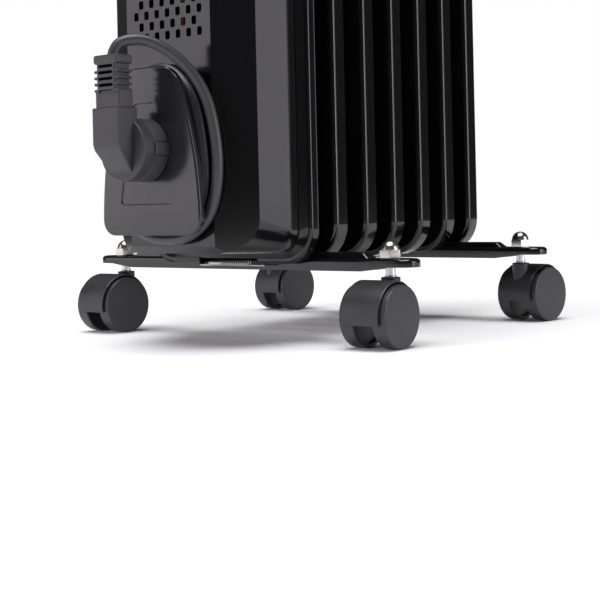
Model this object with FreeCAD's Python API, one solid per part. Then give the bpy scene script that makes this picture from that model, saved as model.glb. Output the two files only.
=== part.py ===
"""Oil filled radiator heater: seven fins, front control housing, cord winder and four casters.

Millimetres. X runs across the fins, Y from the control housing to the far fin, Z up from the floor.
"""
import FreeCAD, Part
import math
import os

V = FreeCAD.Vector

# Fins
FIN_COUNT = 7
FIN_PITCH = 35.0
FIN_HALF = 68.3
FIN_BOTTOM = 51.8
FIN_TOP = 598.0
FIN_CORNER = 25.0
FLANGE = 13.0
SHEET = 1.2
BEND = 3.6
FIRST_FIN = -82.5
END_FIN_Y = -79.4
END_FIN_BOTTOM = 55.0
CHANNEL_X = (-22.0, 0.0, 22.0)
CHANNEL_W = 13.0
BULGE = 4.0
LOWER_Z = 100.0
UPPER_Z = 550.0
BORE = 17.0
COLLAR = 20.0
COLLAR_BORE = 17.2
HEADER = 27.0

# Control housing
WALL = 1.5
LIP_Y = -85.0
LIP_HALF = 66.0
LIP_BOTTOM = 59.2
LIP_CORNER = 15.0
HOUSING_TOP = 608.0
PANEL_Y = -132.5
PANEL_HALF = 36.5
NOSE_HALF = 58.0
NOSE_BOTTOM = 60.6
NOSE_CORNER = 25.0
CHEEK_HALF = 60.4
CHEEK_Y = -118.0
BEVEL = 4.5
VENT_X = 9.2
VENT_Z = 7.2
VENT_ROWS = 16
VENT_BASE = 200.5
VENT_SIZE = (4.0, 5.5)
FRAME_HALF = 70.0
FRAME_BOTTOM = 55.2
FRAME_TOP = 602.5
FRAME_OPEN = 60.0
SEAM_Y = -80.0
SHIELD_Y = -95.0
BAND_END = -72.3
BAND_SHEET = 0.8
BAND_GAP = (-25.0, 27.0)
SPRING_X = (-18.0, 17.0)
SPRING_Z = 51.8
HANDLE_X = 36.0
HANDLE_Y = -108.0
HANDLE_RISE = 34.0
HANDLE_R = 6.0

ELEMENT_HOLE = 14.0
ELEMENT_HALF = 7.0
ELEMENT_R = 4.25

# Controls
FASCIA_HALF = 31.0
FASCIA = (396.0, 584.0)
FASCIA_T = 1.6
KNOB_Z = 525.0
KNOB_R = 23.0
KNOB_T = 17.0
SHAFT_R = 3.0
ROCKER_X = (-15.0, 15.0)
ROCKER_Z = 440.0
ROCKER_HALF = (7.0, 10.5)
ROCKER_PIN = 1.5
ROCKER_TILT = 8.0

# Winder, cord and plug
PLATE_Y = -152.0
PLATE_T = 4.0
PLATE_SHAPE = (72.8, 178.6, (42.4, 10.0), (36.4, 135.0), (26.0, 15.0))
RECESS_SHAPE = (92.4, 156.0, (22.2, 4.0), (17.0, 126.0), (10.0, 4.0))
RECESS_DEEP = 0.8
CORD_D = 7.0
CORD_Y = -137.3
GLAND_R = 4.6
HUB_HALF = 23.5
HUB_Z = (90.0, 162.0)
HUB_LOW_R = 16.0
HUB_SIDE = (21.0, 132.0)
HUB_TOP_HALF = 12.5
HUB_TOP_R = 9.0
HUB_WALL = 2.0
PLUG_X = -3.0
PLUG_Z = 126.4
PLUG_R = 19.7
PLUG_T = 20.0
PLUG_SINK = 0.75
PLUG_BOSS_R = 9.0
PIN_R = 2.4
PIN_GAP = 19.0
BLOCK_HALF = 11.7
BLOCK_RISE = 12.0
BLOCK_Z = (3.0, 25.6)
CHIN_DROP = 14.0
NECK_HALF = 10.2
NECK_END = 34.5
RELIEF_HALF = 10.8
RELIEF_DEEP = 7.0
RELIEF_CORE = (6.5, 4.6)
RELIEF_GROOVES = 5
GROOVE_PITCH = 3.9
GROOVE = 2.0
NECK_Y = -178.0
NECK_TOP = 184.0

# Feet
BRACKET_Y = (-59.0, 116.0)
BRACKET_HALF = 138.5
BRACKET_W = 20.0
BRACKET_TOP = 55.2
BRACKET_SHEET = 1.5
BRACKET_BOTTOM = 47.0
SKIRT_RISE = ((104.0, 0.2), (120.0, 2.6), (140.0, 3.2))
RIB_HALF = 100.0
RIB_W = 11.0
RIB_TOP = 58.8
BOLT_X = COLLAR + 2.7
BOLT_R = 2.5
BOLT_END = 47.6
STEM_X = 118.0
STEM_R = 3.2
STEM_TOP = 62.0
NUT_FLATS = 13.0
NUT_HEX = 5.3
NUT_DOME = 5.8
WHEEL_R = 20.0
WHEEL_OUT = 17.2
WHEEL_IN = 7.2
HOOD_R = 22.2
HOOD_IN = 20.6
HOOD_HALF = 13.4
HOOD_CUT = 15.6
TRAIL = 13.3
BOSS_R = 6.2
BOSS_TOP = 43.4
AXLE_R = 2.5
AXLE_HALF = 15.5
HUB_FACE = 6.6
HOOD_HUB_R = 5.0
WHEEL_BEVEL = 0.9
FIT = 0.05
CASTERS = {
    "front_left": (-1, -1, -2.8),
    "front_right": (1, -1, -0.2),
    "rear_left": (-1, 1, -5.1),
    "rear_right": (1, 1, -8.3),
}

os.makedirs("parts", exist_ok=True)


def save(name, shape):
    """Write one node as a STEP file."""
    shape.exportStep("parts/" + name + ".step")


def box(x0, x1, y0, y1, z0, z1):
    """Box between two corners."""
    return Part.makeBox(x1 - x0, y1 - y0, z1 - z0, V(x0, y0, z0))


def rod(radius, start, end):
    """Solid cylinder from one point to another."""
    a, b = V(*start), V(*end)
    return Part.makeCylinder(radius, (b - a).Length, a, b - a)


def outline(half, bottom, top, corner, y):
    """Rounded rectangle in the plane at y, symmetric about X = 0."""
    k = corner * (1 - math.sqrt(0.5))
    low, high = bottom + corner, top - corner
    inner = half - corner
    edges = []
    for (x0, z0), mid, (x1, z1) in (
        ((half, low), (half - k, bottom + k), (inner, bottom)),
        ((-inner, bottom), (-half + k, bottom + k), (-half, low)),
        ((-half, high), (-half + k, top - k), (-inner, top)),
        ((inner, top), (half - k, top - k), (half, high)),
    ):
        if edges:
            edges.append(Part.makeLine(last, V(x0, y, z0)))
        edges.append(Part.Arc(V(x0, y, z0), V(mid[0], y, mid[1]), V(x1, y, z1)).toShape())
        last = V(x1, y, z1)
    edges.append(Part.makeLine(last, V(half, y, low)))
    return Part.Wire(edges)


def slab(half, bottom, top, corner, y0, y1):
    """Rounded rectangle pushed from y0 to y1."""
    return Part.Face(outline(half, bottom, top, corner, y0)).extrude(V(0, y1 - y0, 0))


def taper(near, far):
    """Straight-sided solid between two outlines."""
    return Part.makeLoft([near, far], True, True)


def prism(points, axis, start, length):
    """Polygon of (a, b) pairs pushed along X, Y or Z."""
    place = {"X": lambda a, b: V(start, a, b), "Y": lambda a, b: V(a, start, b), "Z": lambda a, b: V(a, b, start)}
    along = {"X": V(length, 0, 0), "Y": V(0, length, 0), "Z": V(0, 0, length)}
    ring = [place[axis](a, b) for a, b in points]
    return Part.Face(Part.makePolygon(ring + ring[:1])).extrude(along[axis])


def fin_y(index):
    """Front face of a fin's sheet; the first one is shallower, to sit under the clamp band."""
    return FIRST_FIN + index * FIN_PITCH if index else END_FIN_Y


def channel_pads(y0, y1):
    """Upper and lower header pads joined by the vertical oil channels."""
    pads = [rod(HEADER, (0, y0, z), (0, y1, z)) for z in (LOWER_Z, UPPER_Z)]
    for x in CHANNEL_X:
        half = CHANNEL_W / 2
        pads.append(box(x - half, x + half, y0, y1, LOWER_Z, UPPER_Z))
    return pads[0].multiFuse(pads[1:]).removeSplitter()


def folded_sheet(y, end, bottom):
    """Shallow tray of sheet metal: flat front, soft bend and a rim that points backwards."""
    outer = slab(FIN_HALF, bottom, FIN_TOP, FIN_CORNER, y, end)
    outer = outer.makeFillet(BEND, [e for e in outer.Edges if e.BoundBox.YMax < y + 0.01])
    inside = y + SHEET
    inner = slab(FIN_HALF - SHEET, bottom + SHEET, FIN_TOP - SHEET, FIN_CORNER - SHEET, inside, end + 1)
    inner = inner.makeFillet(BEND - SHEET, [e for e in inner.Edges if e.BoundBox.YMax < inside + 0.01])
    return outer.cut(inner)


def make_fin(index):
    """Pressed fin: folded sheet with oil channels bulging on both sides, bored for the oil."""
    y = fin_y(index)
    first, last = index == 0, index == FIN_COUNT - 1
    end = BAND_END if first else FIRST_FIN + index * FIN_PITCH + FLANGE
    fin = folded_sheet(y, end, END_FIN_BOTTOM if first else FIN_BOTTOM)
    fin = fin.fuse(channel_pads(y - BULGE, y + SHEET + BULGE))
    before = y - BULGE - 1
    behind = y if last else y + SHEET + BULGE + 1
    fin = fin.cut(rod(BORE, (0, before, LOWER_Z), (0, behind, LOWER_Z)))
    return fin.cut(rod(BORE, (0, y + SHEET if first else before, UPPER_Z), (0, behind, UPPER_Z)))


def make_collars(z):
    """Six tubes that join the fins' headers at one height."""
    tubes = []
    for index in range(FIN_COUNT - 1):
        ends = (0, fin_y(index) + SHEET + BULGE, z), (0, fin_y(index + 1) - BULGE, z)
        tubes.append(rod(COLLAR, *ends).cut(rod(COLLAR_BORE, *ends)))
    return Part.makeCompound(tubes)


def nose_block(inset, end=LIP_Y):
    """Housing form, inset by a wall: tapered sides, two slanted cheeks and a low bevel."""
    front = PANEL_Y + inset
    near = outline(NOSE_HALF - inset, NOSE_BOTTOM + inset, HOUSING_TOP - inset, NOSE_CORNER - inset, front)
    far = outline(LIP_HALF - inset, LIP_BOTTOM + inset, HOUSING_TOP - inset, LIP_CORNER - inset, end)
    body = taper(near, far)
    slope = (CHEEK_Y - PANEL_Y) / (CHEEK_HALF - PANEL_HALF)
    crease = front + inset * (math.hypot(1, slope) - 1)
    wide, deep = 60.0, 10.0
    for side in (-1, 1):
        cheek = [(side * PANEL_HALF, crease), (side * (PANEL_HALF + wide), crease + wide * slope),
                 (side * (PANEL_HALF + wide), crease - wide), (side * PANEL_HALF, crease - wide)]
        body = body.cut(prism(cheek, "Z", 0, HOUSING_TOP + 50))
    for z, way in ((NOSE_BOTTOM + inset, 1), (HOUSING_TOP - inset, -1)):
        edge = [(front - deep, z + way * (BEVEL + deep)), (front + BEVEL + deep, z - way * deep),
                (front - deep, z - way * deep)]
        body = body.cut(prism(edge, "X", -100, 200))
    return body


def vent_centres():
    """Staggered rows of seven and six slots on the flat panel."""
    for row in range(VENT_ROWS):
        count = 7 - row % 2
        for column in range(count):
            yield (column - (count - 1) / 2) * VENT_X, VENT_BASE + row * VENT_Z


def make_shell():
    """Front shell with vents, control openings and the cord's exit."""
    shell = nose_block(0.0).cut(nose_block(WALL, LIP_Y + 0.5))
    width, height = VENT_SIZE
    slots = [box(x - width / 2, x + width / 2, PANEL_Y - 1, PANEL_Y + WALL + 1,
                 z - height / 2, z + height / 2) for x, z in vent_centres()]
    shell = shell.cut(Part.makeCompound(slots))
    for side in (-1, 1):
        x = side * HANDLE_X
        shell = shell.cut(rod(2.2, (x, HANDLE_Y, HOUSING_TOP - 5), (x, HANDLE_Y, HOUSING_TOP + 5)))
    return shell.cut(panel_openings(PANEL_Y - 1, PANEL_Y + WALL + 1))


def panel_openings(y0, y1):
    """Holes for the thermostat's shaft and the two switches."""
    holes = [rod(SHAFT_R + 1.0, (0, y0, KNOB_Z), (0, y1, KNOB_Z))]
    for x in ROCKER_X:
        holes.append(box(x - 9.5, x + 9.5, y0, y1, ROCKER_Z - 13, ROCKER_Z + 13))
    return Part.makeCompound(holes)


def make_frame():
    """Rear frame: heat shield inside the shell and a flared rim in front of the first fin."""
    rim_front = outline(LIP_HALF + 0.4, LIP_BOTTOM - 0.4, HOUSING_TOP + 0.4, LIP_CORNER, LIP_Y)
    rim_back = outline(FRAME_HALF, FRAME_BOTTOM, FRAME_TOP, 21.0, SEAM_Y)
    step = nose_block(WALL + 0.3).common(box(-100, 100, SHIELD_Y, LIP_Y, 0, HOUSING_TOP + 50))
    frame = taper(rim_front, rim_back).fuse(step)
    opening = slab(FRAME_OPEN, LIP_BOTTOM + 6.0, HOUSING_TOP - 10.0, 14.0, SHIELD_Y + 1, SEAM_Y + 1)
    frame = frame.cut(opening)
    return frame.cut(rod(ELEMENT_HOLE, (0, SHIELD_Y - 1, LOWER_Z), (0, SHIELD_Y + 2, LOWER_Z)))


def make_band():
    """Clamp band round the seam: flared ring with a folded rear edge, open at the bottom."""
    def ring(grow, y0, y1):
        front = outline(FRAME_HALF + 0.9 - grow, FRAME_BOTTOM - 0.8 + grow, FRAME_TOP + 0.9 - grow, 22.0, y0)
        back = outline(FRAME_HALF + 2.8 - grow, FRAME_BOTTOM - 4.0 + grow, FRAME_TOP + 2.8 - grow, 23.0, y1)
        return taper(front, back)

    band = ring(0.0, SEAM_Y, BAND_END).cut(ring(BAND_SHEET, SEAM_Y, BAND_END))
    fold = slab(FRAME_HALF + 2.4, FRAME_BOTTOM - 3.6, FRAME_TOP + 2.4, 23.0, BAND_END, BAND_END + BAND_SHEET)
    fold = fold.cut(slab(FIN_HALF - 1, FRAME_BOTTOM + 0.4, FIN_TOP - 1, FIN_CORNER, BAND_END - 1, BAND_END + 2))
    band = band.fuse(fold)
    left, right = BAND_GAP
    band = band.cut(box(left, right, SEAM_Y - 1, BAND_END + 2, 40, 60))
    y = (SEAM_Y + BAND_END) / 2
    lugs = [box(x - 1.5, x + 1.5, y - 2.5, y + 2.5, SPRING_Z - 0.6, SPRING_Z + 3.0) for x in (left - 2, right + 3)]
    return band.multiFuse(lugs).removeSplitter()


def make_spring():
    """Band spring: coil with two straight hooks that end at the band's lugs."""
    y = (SEAM_Y + BAND_END) / 2
    start, end = SPRING_X
    coil = rod(2.0, (start, y, SPRING_Z), (end, y, SPRING_Z)).cut(
        rod(1.2, (start - 1, y, SPRING_Z), (end + 1, y, SPRING_Z)))
    wire_z = SPRING_Z - 1.6
    left, right = BAND_GAP
    hooks = [rod(0.5, (start, y, wire_z), (left - 2, y, wire_z)),
             rod(0.5, (end, y, wire_z), (right + 3, y, wire_z))]
    return coil.multiFuse(hooks)


def rounded_kite(bottom, top, low, side, high, y0, y1):
    """Winder outline pushed from y0 to y1: wide at the bottom, bowed sides, narrow at the top.

    low and high give the half-width and the corner radius at each end; side is a point on the bow.
    """
    low_half, low_r = low
    high_half, high_r = high

    def arc(*points):
        return Part.Arc(*[V(x, y0, z) for x, z in points]).toShape()

    k = 1 - math.sqrt(0.5)
    right = [arc((low_half - low_r, bottom), (low_half - k * low_r, bottom + k * low_r),
                 (low_half, bottom + low_r)),
             arc((low_half, bottom + low_r), side, (high_half, top - high_r)),
             arc((high_half, top - high_r), (high_half - k * high_r, top - k * high_r),
                 (high_half - high_r, top))]
    left = [edge.mirror(V(0, 0, 0), V(1, 0, 0)) for edge in right]
    flats = [Part.makeLine(V(low_r - low_half, y0, bottom), V(low_half - low_r, y0, bottom)),
             Part.makeLine(V(high_r - high_half, y0, top), V(high_half - high_r, y0, top))]
    wire = Part.Wire(Part.__sortEdges__(right + left + flats))
    return Part.Face(wire).extrude(V(0, y1 - y0, 0))


def pin_holes(radius, y0, y1):
    """Two parallel holes or pins of the plug."""
    places = [PLUG_Z - PIN_GAP / 2, PLUG_Z + PIN_GAP / 2]
    return Part.makeCompound([rod(radius, (PLUG_X, y0, z), (PLUG_X, y1, z)) for z in places])


def hub_outline(grow, y0, y1):
    """Hub's outline moved outwards by grow, pushed from y0 to y1."""
    low = (HUB_HALF + grow, HUB_LOW_R + grow)
    side = (HUB_SIDE[0] + grow * 0.97, HUB_SIDE[1] + grow * 0.3)
    high = (HUB_TOP_HALF + grow, HUB_TOP_R + grow)
    return rounded_kite(HUB_Z[0] - grow, HUB_Z[1] + grow, low, side, high, y0, y1)


def make_hub():
    """Hollow hub that the cord is wound on, with a slanted passage for the cord."""
    back = PLATE_Y + PLATE_T
    hub = hub_outline(0.0, back, PANEL_Y).cut(hub_outline(-HUB_WALL, back - 1, PANEL_Y + 1))
    return hub.cut(gland_bar(GLAND_R))


def gland_bar(radius):
    """Round bar along the cord's exit, which slants down to the right through the hub's lower wall."""
    return Part.makeCylinder(radius, 40, V(-14, CORD_Y, HUB_Z[0] + 8), V(2, 0, -1))


def make_gland():
    """Cord gland in the hub's lower wall."""
    ring = gland_bar(GLAND_R).cut(gland_bar(CORD_D / 2))
    return ring.common(hub_outline(0.0, PLATE_Y, PANEL_Y))


def make_plate():
    """Outer plate of the winder with a shallow plug recess and pin holes."""
    plate = rounded_kite(*PLATE_SHAPE, PLATE_Y, PLATE_Y + PLATE_T)
    recess = rounded_kite(*RECESS_SHAPE, PLATE_Y - 1, PLATE_Y + RECESS_DEEP)
    recess.translate(V(PLUG_X, 0, 0))
    return plate.cut(recess).cut(pin_holes(PIN_R + 0.3, PLATE_Y - 1, PLATE_Y + PLATE_T + 1))


def make_coil():
    """Outer shape of the cord wound round the hub: two turns deep and two wide."""
    y0, y1 = PLATE_Y + PLATE_T + 0.3, PANEL_Y - 0.3
    return hub_outline(2 * CORD_D + 0.4, y0, y1).cut(hub_outline(0.4, y0 - 1, y1 + 1))


def cord_route():
    """Points of the free run, from the plug over the plate and round to the coil."""
    return [V(PLUG_X, NECK_Y, NECK_TOP - 0.5), V(-2.2, -177, 189.6), V(2.8, -171.5, 193.8), V(12, -161, 193.6),
            V(26, -148, 181.5), V(37, -139, 162), V(44, -138, 137), V(46, -138, 110), V(39.5, -138, 85.5),
            V(22.5, -138, 71.5), V(0, -138, 69), V(-21, -138, 73), V(-37, -138, 87), V(-43, -138, 108),
            V(-41, -138, 131), V(-35, -138, 151), V(-21.5, -137.5, 166), V(-3, -137.3, 171.5)]


def cord_path(points, diameter):
    """Straight runs joined by tangent arcs, as a wire; prints the arcs' radii."""
    edges, last, radii = [], points[0], []
    for before, here, after in zip(points, points[1:], points[2:]):
        u = (before - here).normalize()
        w = (after - here).normalize()
        run = min((before - here).Length, (after - here).Length)
        half_turn = (math.pi - u.getAngle(w)) / 2
        reach = 0.45 * run
        radius = reach / math.tan(half_turn)
        a, b = here + u * reach, here + w * reach
        bisector = (u + w).normalize()
        middle = here + bisector * (radius / math.cos(half_turn) - radius)
        edges += [Part.LineSegment(last, a).toShape(), Part.Arc(a, middle, b).toShape()]
        radii.append(round(radius / diameter, 1))
        last = b
    edges.append(Part.LineSegment(last, points[-1]).toShape())
    print("cord arc radii in diameters", radii)
    return Part.Wire(edges)


def make_cord():
    """Free run of the mains cord."""
    points = cord_route()
    path = cord_path(points, CORD_D)
    section = Part.Wire(Part.makeCircle(CORD_D / 2, points[0], points[1] - points[0]))
    tube = path.makePipeShell([section], True, True)
    ideal = math.pi * CORD_D ** 2 / 4 * path.Length
    print("cord length", round(path.Length, 1), "volume ratio", round(tube.Volume / ideal, 4))
    return tube


def make_plug():
    """Angled round mains plug with a ribbed strain relief."""
    back = PLATE_Y + PLUG_SINK
    face = PLATE_Y - PLUG_T
    body = rod(PLUG_R, (PLUG_X, face, PLUG_Z), (PLUG_X, back, PLUG_Z))
    body = body.cut(rod(PLUG_R + 5, (PLUG_X, PLATE_Y, PLUG_Z), (PLUG_X, back + 1, PLUG_Z))
                    .cut(rod(PLUG_BOSS_R, (PLUG_X, PLATE_Y, PLUG_Z), (PLUG_X, back + 1, PLUG_Z))))
    low, high = PLUG_Z + BLOCK_Z[0], PLUG_Z + BLOCK_Z[1]
    block = box(PLUG_X - BLOCK_HALF, PLUG_X + BLOCK_HALF, face - BLOCK_RISE, face + 4, low, high)
    chin = prism([(face - BLOCK_RISE, low + 0.5), (face + 2, low + 0.5), (face + 2, PLUG_Z - CHIN_DROP)],
                 "X", PLUG_X - BLOCK_HALF, 2 * BLOCK_HALF)
    neck_end = PLUG_Z + NECK_END
    neck = box(PLUG_X - NECK_HALF, PLUG_X + NECK_HALF, NECK_Y - 6, NECK_Y + RELIEF_DEEP, high, neck_end)
    relief = box(PLUG_X - RELIEF_HALF, PLUG_X + RELIEF_HALF, NECK_Y - RELIEF_DEEP, NECK_Y + RELIEF_DEEP,
                 neck_end, NECK_TOP)
    body = body.multiFuse([block, chin, neck, relief])
    core_x, core_y = RELIEF_CORE
    for step in range(RELIEF_GROOVES):
        z = neck_end + 2.5 + step * GROOVE_PITCH
        ring = box(PLUG_X - 12, PLUG_X + 12, NECK_Y - 9, NECK_Y + 9, z, z + GROOVE)
        core = box(PLUG_X - core_x, PLUG_X + core_x, NECK_Y - core_y, NECK_Y + core_y, z, z + GROOVE)
        body = body.cut(ring.cut(core))
    return body.removeSplitter()


def make_pins():
    """Round plug pins, seated on the plug's face and parked in the hub."""
    return pin_holes(PIN_R, PLATE_Y + PLUG_SINK, PANEL_Y - 0.6)


def make_bracket(y):
    """Pressed foot bar: round-ended channel, flanges deeper in the middle, raised rib."""
    r = BRACKET_W / 2
    long = BRACKET_HALF - r

    def stadium(radius, z0, z1):
        bar = box(-long, long, y - radius, y + radius, z0, z1)
        ends = [Part.makeCylinder(radius, z1 - z0, V(s * long, y, z0)) for s in (-1, 1)]
        return bar.multiFuse(ends)

    low, sheet = BRACKET_BOTTOM, BRACKET_SHEET
    body = stadium(r, low, BRACKET_TOP)
    body = body.cut(stadium(r - sheet, low - 1, BRACKET_TOP - sheet))
    for side in (-1, 1):
        rise = [(side * x, low + z) for x, z in SKIRT_RISE]
        skirt = [(side * RIB_HALF, low - 1), *rise, (side * (BRACKET_HALF + 2), low - 1)]
        body = body.cut(prism(skirt, "Y", y - BRACKET_W, 2 * BRACKET_W))
    rib = prism([(-RIB_HALF - 5, BRACKET_TOP - 1), (-RIB_HALF, RIB_TOP), (RIB_HALF, RIB_TOP),
                 (RIB_HALF + 5, BRACKET_TOP - 1)], "Y", y - RIB_W / 2, RIB_W)
    core = prism([(-RIB_HALF - 4, BRACKET_TOP - 1 - sheet), (1 - RIB_HALF, RIB_TOP - sheet),
                  (RIB_HALF - 1, RIB_TOP - sheet), (RIB_HALF + 4, BRACKET_TOP - 1 - sheet)],
                 "Y", y - RIB_W / 2 + sheet, RIB_W - 2 * sheet)
    body = body.fuse(rib).cut(core)
    for x in (-STEM_X, STEM_X):
        body = body.cut(rod(STEM_R + 0.1, (x, y, 40), (x, y, 60)))
    for x in (-BOLT_X, BOLT_X):
        body = body.cut(rod(BOLT_R + 0.3, (x, y, 40), (x, y, 62)))
    return body.removeSplitter()


def make_u_bolts():
    """Two U-bolts over the lower collars, beside the first and the last fin."""
    bolts = []
    for y in BRACKET_Y:
        arc = Part.Arc(V(-BOLT_X, y, LOWER_Z), V(0, y, LOWER_Z + BOLT_X), V(BOLT_X, y, LOWER_Z)).toShape()
        legs = [Part.LineSegment(V(-BOLT_X, y, BOLT_END), V(-BOLT_X, y, LOWER_Z)).toShape(), arc,
                Part.LineSegment(V(BOLT_X, y, LOWER_Z), V(BOLT_X, y, BOLT_END)).toShape()]
        section = Part.Wire(Part.makeCircle(BOLT_R, V(-BOLT_X, y, BOLT_END), V(0, 0, 1)))
        bolts.append(Part.Wire(legs).makePipeShell([section], True, True))
    return Part.makeCompound(bolts)


def hexagon(x, y, z, across, height):
    """Hexagonal prism with two flats facing X; across is measured over the flats."""
    radius = across / math.sqrt(3)
    ring = [(x + radius * math.sin(math.radians(60 * i)), y + radius * math.cos(math.radians(60 * i)))
            for i in range(6)]
    return prism(ring, "Z", z, height)


def make_u_bolt_nuts():
    """Four hexagon nuts inside the foot brackets' channels."""
    top = BRACKET_TOP - BRACKET_SHEET
    nuts = []
    for y in BRACKET_Y:
        for x in (-BOLT_X, BOLT_X):
            nuts.append(hexagon(x, y, top - 4.7, 8.0, 4.7).cut(rod(BOLT_R, (x, y, 40), (x, y, 60))))
    return Part.makeCompound(nuts)


def caster_place(name):
    """Stem position, unit axle direction and wheel centre of a caster."""
    side, end, angle = CASTERS[name]
    turn = math.radians(angle)
    y = BRACKET_Y[0] if end < 0 else BRACKET_Y[1]
    stem = V(side * STEM_X, y, 0)
    axle = V(math.cos(turn), math.sin(turn), 0)
    trail = V(-math.sin(turn), math.cos(turn), 0) * (end * TRAIL)
    return stem, axle, stem + trail + V(0, 0, WHEEL_R)


def make_stems():
    """Four zinc stems, from inside the hoods' bosses up into the cap nuts."""
    stems = []
    for name in CASTERS:
        stem, _, _ = caster_place(name)
        stems.append(rod(STEM_R, (stem.x, stem.y, 31), (stem.x, stem.y, STEM_TOP)))
    return Part.makeCompound(stems)


def make_cap_nuts():
    """Domed hexagon nuts on the stems."""
    nuts = []
    for name in CASTERS:
        stem, _, _ = caster_place(name)
        shoulder = BRACKET_TOP + NUT_HEX
        dome = Part.makeSphere(NUT_DOME, V(stem.x, stem.y, shoulder))
        dome = dome.cut(box(stem.x - 9, stem.x + 9, stem.y - 9, stem.y + 9, 40, shoulder))
        nut = hexagon(stem.x, stem.y, BRACKET_TOP, NUT_FLATS, NUT_HEX).fuse(dome)
        nuts.append(nut.cut(rod(STEM_R, (stem.x, stem.y, 50), (stem.x, stem.y, STEM_TOP))))
    return Part.makeCompound(nuts)


def make_hood(name):
    """Swivelling hood: half-drum cover over both wheels, centre web and stem boss."""
    stem, axle, centre = caster_place(name)
    drum = Part.makeCylinder(HOOD_R, 2 * HOOD_HALF, centre - axle * HOOD_HALF, axle)
    for way in (-1, 1):
        start = centre + axle * (HUB_FACE if way > 0 else -HOOD_HALF - 1)
        drum = drum.cut(Part.makeCylinder(HOOD_IN, HOOD_HALF - HUB_FACE + 1, start, axle))
    gap = Part.makeCylinder(HOOD_IN, 4.0, centre - axle * 6.0, axle)
    drum = drum.cut(gap).cut(Part.makeCylinder(HOOD_IN, 4.0, centre + axle * 2.0, axle))
    drum = drum.fuse(Part.makeCylinder(HOOD_HUB_R, 2 * HUB_FACE, centre - axle * HUB_FACE, axle))
    drum = drum.cut(box(centre.x - 40, centre.x + 40, centre.y - 40, centre.y + 40, -10, HOOD_CUT))
    boss = Part.makeCylinder(BOSS_R, BOSS_TOP - 28, V(stem.x, stem.y, 28))
    boss = boss.cut(Part.makeCylinder(WHEEL_R + 0.6, 8, centre + axle * HUB_FACE, axle))
    boss = boss.cut(Part.makeCylinder(WHEEL_R + 0.6, 8, centre - axle * (HUB_FACE + 8), axle))
    hood = drum.fuse(boss)
    hood = hood.cut(Part.makeCylinder(STEM_R + FIT, 20, V(stem.x, stem.y, 30.5)))
    return hood.cut(Part.makeCylinder(AXLE_R, 40, centre - axle * 20, axle)).removeSplitter()


def make_axle(name):
    """Axle pin through the hood's web."""
    _, axle, centre = caster_place(name)
    return Part.makeCylinder(AXLE_R, 2 * AXLE_HALF, centre - axle * AXLE_HALF, axle)


def make_wheel(name, way):
    """One wheel of a twin caster: flat outer face with a bevelled rim, hub bored for the axle."""
    _, axle, centre = caster_place(name)
    inner = centre + axle * (way * WHEEL_IN)
    out = axle * way
    width = WHEEL_OUT - WHEEL_IN
    tread = Part.makeCylinder(WHEEL_R, width - WHEEL_BEVEL, inner, out)
    face = Part.makeCone(WHEEL_R, WHEEL_R - WHEEL_BEVEL, WHEEL_BEVEL, inner + out * (width - WHEEL_BEVEL), out)
    recess = Part.makeCylinder(WHEEL_R - 2.4, width - 3.0, inner - out, out)
    hub = Part.makeCylinder(5.5, width - 2.0, inner, out)
    wheel = tread.fuse(face).cut(recess).fuse(hub)
    return wheel.cut(Part.makeCylinder(AXLE_R + FIT, AXLE_HALF + 0.1 - WHEEL_IN, inner, out)).removeSplitter()


def make_element():
    """Tubular heating element: a long U inside the lower collars, with two terminals."""
    half = ELEMENT_HALF
    front, end = SHIELD_Y - 12, fin_y(FIN_COUNT - 1) - 30
    arc = Part.Arc(V(-half, end, LOWER_Z), V(0, end + half, LOWER_Z), V(half, end, LOWER_Z)).toShape()
    path = Part.Wire([Part.LineSegment(V(-half, front, LOWER_Z), V(-half, end, LOWER_Z)).toShape(), arc,
                      Part.LineSegment(V(half, end, LOWER_Z), V(half, front, LOWER_Z)).toShape()])
    section = Part.Wire(Part.makeCircle(ELEMENT_R, V(-half, front, LOWER_Z), V(0, 1, 0)))
    return path.makePipeShell([section], True, True)


def make_element_flange():
    """Flange that closes the lower header in front of the first fin."""
    y = fin_y(0) - BULGE
    flange = rod(HEADER - 2, (0, y - 4, LOWER_Z), (0, y, LOWER_Z))
    for x in (-ELEMENT_HALF, ELEMENT_HALF):
        flange = flange.cut(rod(ELEMENT_R, (x, y - 5, LOWER_Z), (x, y + 1, LOWER_Z)))
    return flange


def make_filler_plug():
    """Crimped oil filler plug on the last fin's upper header."""
    y = fin_y(FIN_COUNT - 1) + SHEET + BULGE
    return rod(4.0, (0, y, UPPER_Z), (0, y + 3, UPPER_Z)).fuse(rod(2.2, (0, y + 3, UPPER_Z), (0, y + 5, UPPER_Z)))


def make_fascia():
    """Trim plate behind the knob and the switches."""
    y = PANEL_Y - FASCIA_T
    plate = slab(FASCIA_HALF, FASCIA[0], FASCIA[1], 6.0, y, PANEL_Y)
    return plate.cut(panel_openings(y - 1, PANEL_Y + 1))


def make_knob():
    """Thermostat knob with a grip bar."""
    y = PANEL_Y - FASCIA_T - 0.6
    skirt = Part.makeCone(KNOB_R, KNOB_R - 2.0, 6.0, V(0, y, KNOB_Z), V(0, -1, 0))
    grip = box(-4.5, 4.5, y - KNOB_T, y - 5, KNOB_Z - KNOB_R + 3, KNOB_Z + KNOB_R - 3)
    knob = skirt.fuse(grip)
    return knob.cut(rod(SHAFT_R, (0, y - 10, KNOB_Z), (0, y + 1, KNOB_Z)))


def make_shaft():
    """Thermostat shaft, turned by the knob."""
    y = PANEL_Y - FASCIA_T - 0.6
    return rod(SHAFT_R, (0, y - 10, KNOB_Z), (0, PANEL_Y + 10, KNOB_Z))


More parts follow.
